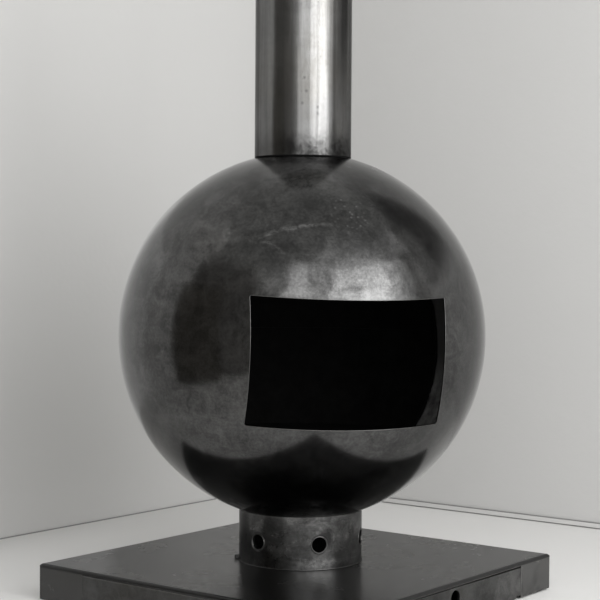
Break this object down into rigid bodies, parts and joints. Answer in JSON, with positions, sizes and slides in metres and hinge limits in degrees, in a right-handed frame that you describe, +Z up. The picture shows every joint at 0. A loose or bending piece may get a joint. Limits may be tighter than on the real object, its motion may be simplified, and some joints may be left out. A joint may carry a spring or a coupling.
{
  "type": "spherical fireplace",
  "caption": "Free-standing steel ball fireplace with an open mouth, turning on a pierced collar over a square plinth with an ash drawer, under a straight flue pipe.",
  "frame": {"origin": "middle of the square plinth on the floor", "axes": "+Z up along the flue; -Y is the drawer's side of the plinth; +X is to the right when facing the drawer. At rest the mouth looks 36.6 degrees from -Y towards -X."},
  "size_m": [0.76, 0.76, 1.4108],
  "materials": {
    "blued_steel": "burnished dark oxide with patina",
    "waxed_steel": "hot-rolled sheet, waxed",
    "pipe_steel": "semi-gloss, cold-rolled",
    "bare_steel": "mill finish",
    "sooty_steel": "matt, soot-blackened",
    "cast_iron": "matt, as cast",
    "zinc_plate": "zinc plated",
    "bronze": "machined bearing bronze"
  },
  "bodies": {
    "plinth": {"plinth_case": "waxed_steel", "base_plate": "bare_steel", "drawer_rail_left": "bare_steel", "drawer_rail_right": "bare_steel", "side_panel": "waxed_steel", "levelling_foot_1": "zinc_plate", "levelling_foot_2": "zinc_plate", "levelling_foot_3": "zinc_plate", "levelling_foot_4": "zinc_plate", "collar": "blued_steel", "air_ring_guide": "bare_steel", "guide_screw_1": "zinc_plate", "guide_screw_2": "zinc_plate", "guide_screw_3": "zinc_plate", "turntable_seat": "bare_steel", "slide_ring": "bronze", "flue_pipe": "pipe_steel"},
    "ball": {"lower_shell": "blued_steel", "upper_shell": "blued_steel", "seam_strip": "bare_steel", "pivot_ring": "bare_steel", "hearth_plate": "sooty_steel", "fire_grate": "cast_iron", "ash_chute": "sooty_steel", "ember_guard": "sooty_steel", "fireback_lower": "sooty_steel", "fireback_upper": "sooty_steel", "flue_spigot": "bare_steel", "damper_bush_left": "bare_steel", "damper_bush_right": "bare_steel"},
    "air_control": {"air_ring": "bare_steel"},
    "drawer": {"drawer_front": "waxed_steel", "drawer_tray": "bare_steel", "ash_pan": "bare_steel"},
    "damper": {"damper_plate": "cast_iron", "damper_spindle": "bare_steel", "damper_lever": "bare_steel"}
  },
  "joints": [
    {"name": "ball_turn", "type": "hinge", "parent": "plinth", "child": "ball", "pos_m": [0, 0, 0.5418], "axis": [0, 0, 1], "continuous": true},
    {"name": "air_lever", "type": "hinge", "parent": "plinth", "child": "air_control", "pos_m": [0, 0, 0.127], "axis": [0, 0, 1], "range_deg": [-30, 0]},
    {"name": "drawer_slide", "type": "slide", "parent": "plinth", "child": "drawer", "axis": [0, -1, 0], "range_m": [0, 0.38]},
    {"name": "damper_turn", "type": "hinge", "parent": "ball", "child": "damper", "pos_m": [0, 0, 0.8834], "axis": [0.8028, -0.5962, 0], "range_deg": [0, 90]}
  ]
}
